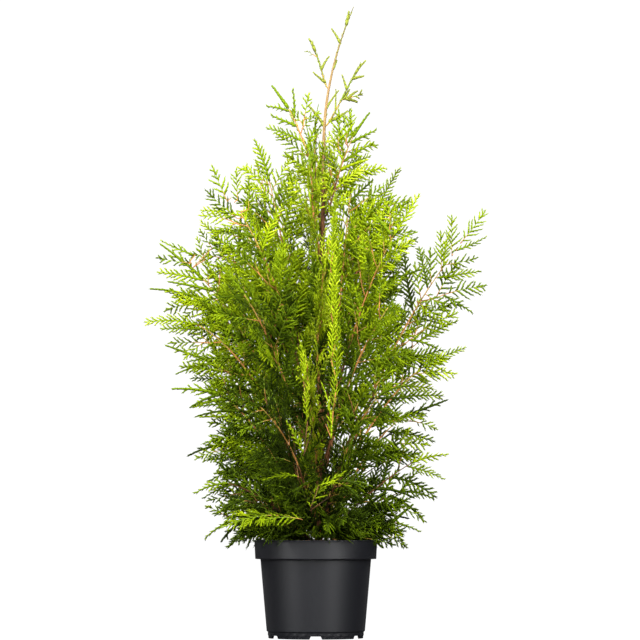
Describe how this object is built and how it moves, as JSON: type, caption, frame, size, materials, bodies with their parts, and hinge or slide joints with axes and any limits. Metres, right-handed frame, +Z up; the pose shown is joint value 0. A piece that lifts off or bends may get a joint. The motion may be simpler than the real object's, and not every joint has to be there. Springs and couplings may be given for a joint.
{
  "type": "potted thuja",
  "caption": "Young columnar thuja with a slender leader, upswept boughs and flat ferny sprays, growing in a round notched nursery pot.",
  "frame": {"origin": "on the pot's axis at the level of the floor it stands on", "axes": "+Z up along the pot's axis, -Y the front seen in the picture, +X its right-hand side"},
  "size_m": [0.5206, 0.3949, 0.9642],
  "materials": {
    "pot_plastic": "satin",
    "soil": "matte",
    "trunk_bark": "matte",
    "bough_bark": "matte",
    "foliage_dark": "matte",
    "foliage_mid": "matte",
    "foliage_bright": "matte"
  },
  "bodies": {
    "root": {"bough_back_high": "bough_bark", "bough_back_left": "bough_bark", "bough_back_right": "bough_bark", "bough_front_high": "bough_bark", "bough_front_left": "bough_bark", "bough_front_right": "bough_bark", "bough_left_crown": "bough_bark", "bough_left_high": "bough_bark", "bough_left_mid": "bough_bark", "bough_left_shoulder": "bough_bark", "bough_left_wide": "bough_bark", "bough_right_crown": "bough_bark", "bough_right_high": "bough_bark", "bough_right_mid": "bough_bark", "bough_right_shoulder": "bough_bark", "bough_right_wide": "bough_bark", "foliage_back_foot": "foliage_dark", "foliage_back_high": "foliage_mid", "foliage_back_left": "foliage_mid", "foliage_back_low": "foliage_dark", "foliage_back_mid": "foliage_mid", "foliage_back_right": "foliage_mid", "foliage_front_foot": "foliage_bright", "foliage_front_high": "foliage_bright", "foliage_front_left": "foliage_bright", "foliage_front_left_foot": "foliage_bright", "foliage_front_left_low": "foliage_mid", "foliage_front_mid": "foliage_bright", "foliage_front_right": "foliage_mid", "foliage_front_right_low": "foliage_mid", "foliage_leader_back": "foliage_mid", "foliage_leader_front": "foliage_bright", "foliage_leader_left": "foliage_bright", "foliage_leader_right": "foliage_bright", "foliage_leader_tip_left": "foliage_bright", "foliage_leader_tip_right": "foliage_bright", "foliage_left_base": "foliage_dark", "foliage_left_crown": "foliage_mid", "foliage_left_droop": "foliage_dark", "foliage_left_foot": "foliage_dark", "foliage_left_hem": "foliage_mid", "foliage_left_high": "foliage_bright", "foliage_left_low": "foliage_mid", "foliage_left_mid": "foliage_mid", "foliage_left_shoulder": "foliage_mid", "foliage_left_skirt": "foliage_mid", "foliage_left_wide": "foliage_bright", "foliage_right_base": "foliage_dark", "foliage_right_crown": "foliage_mid", "foliage_right_droop": "foliage_dark", "foliage_right_foot": "foliage_dark", "foliage_right_high": "foliage_mid", "foliage_right_low": "foliage_mid", "foliage_right_mid": "foliage_mid", "foliage_right_shoulder": "foliage_mid", "foliage_right_skirt": "foliage_dark", "foliage_right_wide": "foliage_bright", "pot": "pot_plastic", "soil": "soil", "trunk": "trunk_bark"}
  },
  "joints": []
}
